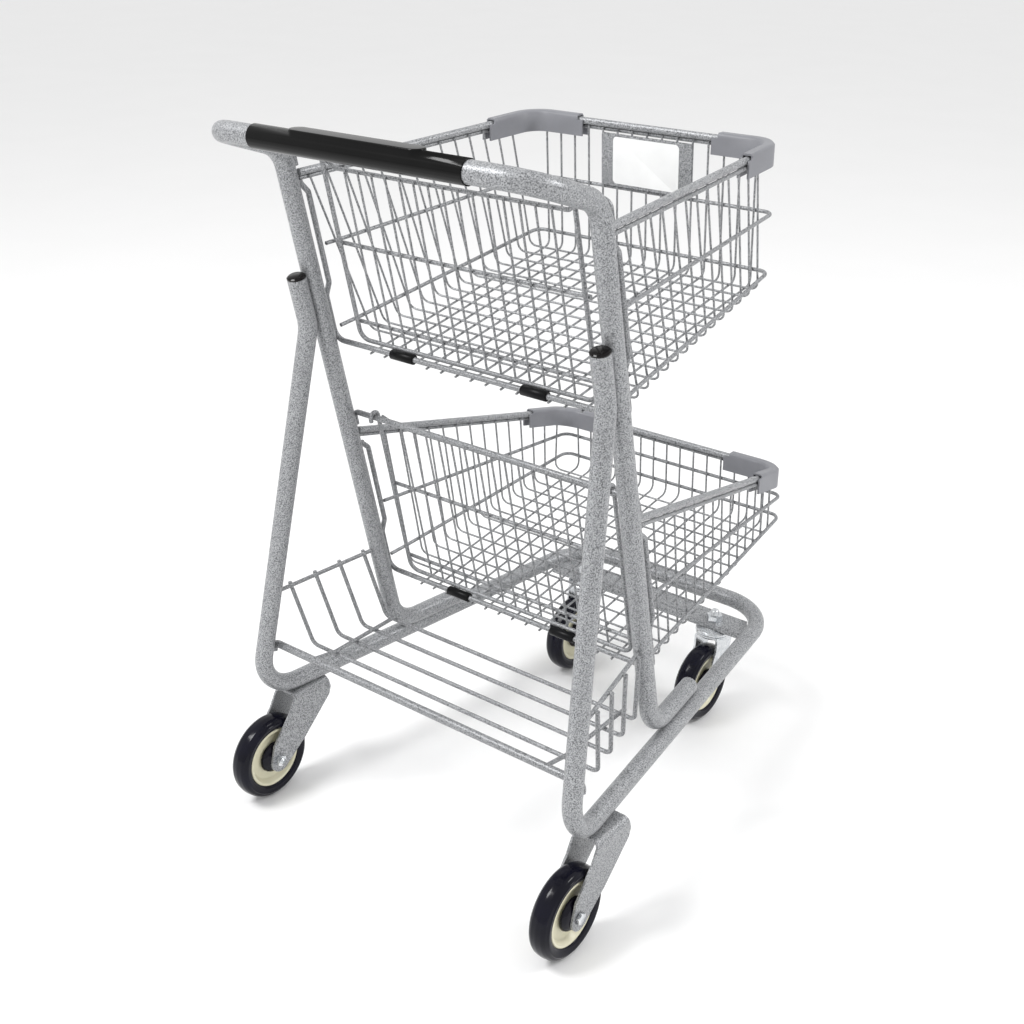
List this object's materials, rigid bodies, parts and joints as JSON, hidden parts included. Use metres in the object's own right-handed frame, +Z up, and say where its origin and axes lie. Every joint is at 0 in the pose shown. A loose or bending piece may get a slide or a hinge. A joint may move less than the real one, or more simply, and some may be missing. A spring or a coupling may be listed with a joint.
{
  "type": "shopping cart",
  "caption": "Two-tier wire shopping cart on a bent tube frame, with swinging rear gates, a bottom tray, fixed rear wheels and swivel front casters.",
  "frame": {"origin": "centre of the bounding box on the floor", "axes": "+Z up, +Y towards the front of the cart (away from the handle), +X to the right of the person pushing"},
  "size_m": [0.592, 0.7372, 0.9889],
  "materials": {
    "frame_coat": "speckled hammertone powder coat",
    "wire_coat": "speckled hammertone powder coat",
    "bumper_grey": "satin moulded",
    "grip_black": "gloss",
    "cap_black": "gloss",
    "sleeve_black": "satin",
    "zinc": "bright zinc plate",
    "tyre_rubber": "polished moulded",
    "wheel_cream": "satin moulded",
    "guard_black": "gloss",
    "label_white": "printed film"
  },
  "bodies": {
    "frame": {"base_frame": "frame_coat", "caster_cross_plate": "frame_coat", "caster_stem_nuts": "zinc", "front_panel": "frame_coat", "handle_frame": "frame_coat", "handle_grip": "grip_black", "left_caster_stem": "zinc", "left_rear_fork": "frame_coat", "leg_caps": "cap_black", "lower_band_wires": "wire_coat", "lower_floor_cross_wires": "wire_coat", "lower_floor_long_wires": "wire_coat", "lower_front_wires": "wire_coat", "lower_gate_sleeves": "sleeve_black", "lower_hinge_rod": "wire_coat", "lower_left_bumper": "bumper_grey", "lower_rear_rod": "wire_coat", "lower_right_bumper": "bumper_grey", "lower_rim": "wire_coat", "lower_side_wires": "wire_coat", "panel_label": "label_white", "rear_axle_bolts": "zinc", "rear_thread_guards": "guard_black", "right_caster_stem": "zinc", "right_rear_fork": "frame_coat", "tray_floor_wires": "wire_coat", "tray_hoops": "wire_coat", "tray_long_wires": "wire_coat", "tray_rear_bar": "wire_coat", "tray_side_rails": "wire_coat", "upper_band_wires": "wire_coat", "upper_floor_cross_wires": "wire_coat", "upper_floor_long_wires": "wire_coat", "upper_front_wires": "wire_coat", "upper_gate_sleeves": "sleeve_black", "upper_hinge_rod": "wire_coat", "upper_left_bumper": "bumper_grey", "upper_rear_rod": "wire_coat", "upper_right_bumper": "bumper_grey", "upper_rim": "wire_coat", "upper_side_wires": "wire_coat"},
    "upper_gate": {"upper_gate_frame": "wire_coat", "upper_gate_uprights": "wire_coat"},
    "lower_gate": {"lower_gate_frame": "wire_coat", "lower_gate_uprights": "wire_coat"},
    "rear_left_wheel": {"rear_left_tyre": "tyre_rubber", "rear_left_wheel_centre": "wheel_cream"},
    "rear_right_wheel": {"rear_right_tyre": "tyre_rubber", "rear_right_wheel_centre": "wheel_cream"},
    "front_left_swivel": {"left_caster_fork": "zinc", "front_left_axle_bolt": "zinc", "front_left_thread_guards": "guard_black"},
    "front_right_swivel": {"right_caster_fork": "zinc", "front_right_axle_bolt": "zinc", "front_right_thread_guards": "guard_black"},
    "front_left_wheel": {"front_left_tyre": "tyre_rubber", "front_left_wheel_centre": "wheel_cream"},
    "front_right_wheel": {"front_right_tyre": "tyre_rubber", "front_right_wheel_centre": "wheel_cream"}
  },
  "joints": [
    {"name": "upper_gate_swing", "type": "hinge", "parent": "frame", "child": "upper_gate", "pos_m": [0, -0.20604, 0.932], "axis": [1, 0, 0], "range_deg": [0, 80]},
    {"name": "lower_gate_swing", "type": "hinge", "parent": "frame", "child": "lower_gate", "pos_m": [0, -0.12561, 0.5565], "axis": [1, 0, 0], "range_deg": [0, 80]},
    {"name": "rear_left_wheel_spin", "type": "hinge", "parent": "frame", "child": "rear_left_wheel", "pos_m": [-0.2696, -0.3051, 0.0635], "axis": [1, 0, 0], "continuous": true},
    {"name": "rear_right_wheel_spin", "type": "hinge", "parent": "frame", "child": "rear_right_wheel", "pos_m": [0.2696, -0.3051, 0.0635], "axis": [1, 0, 0], "continuous": true},
    {"name": "front_left_swivel_turn", "type": "hinge", "parent": "frame", "child": "front_left_swivel", "pos_m": [-0.125, 0.2869, 0.14], "axis": [0, 0, 1], "continuous": true},
    {"name": "front_right_swivel_turn", "type": "hinge", "parent": "frame", "child": "front_right_swivel", "pos_m": [0.125, 0.2869, 0.14], "axis": [0, 0, 1], "continuous": true},
    {"name": "front_left_wheel_spin", "type": "hinge", "parent": "front_left_swivel", "child": "front_left_wheel", "pos_m": [-0.125, 0.2549, 0.0635], "axis": [1, 0, 0], "continuous": true},
    {"name": "front_right_wheel_spin", "type": "hinge", "parent": "front_right_swivel", "child": "front_right_wheel", "pos_m": [0.125, 0.2549, 0.0635], "axis": [1, 0, 0], "continuous": true}
  ]
}
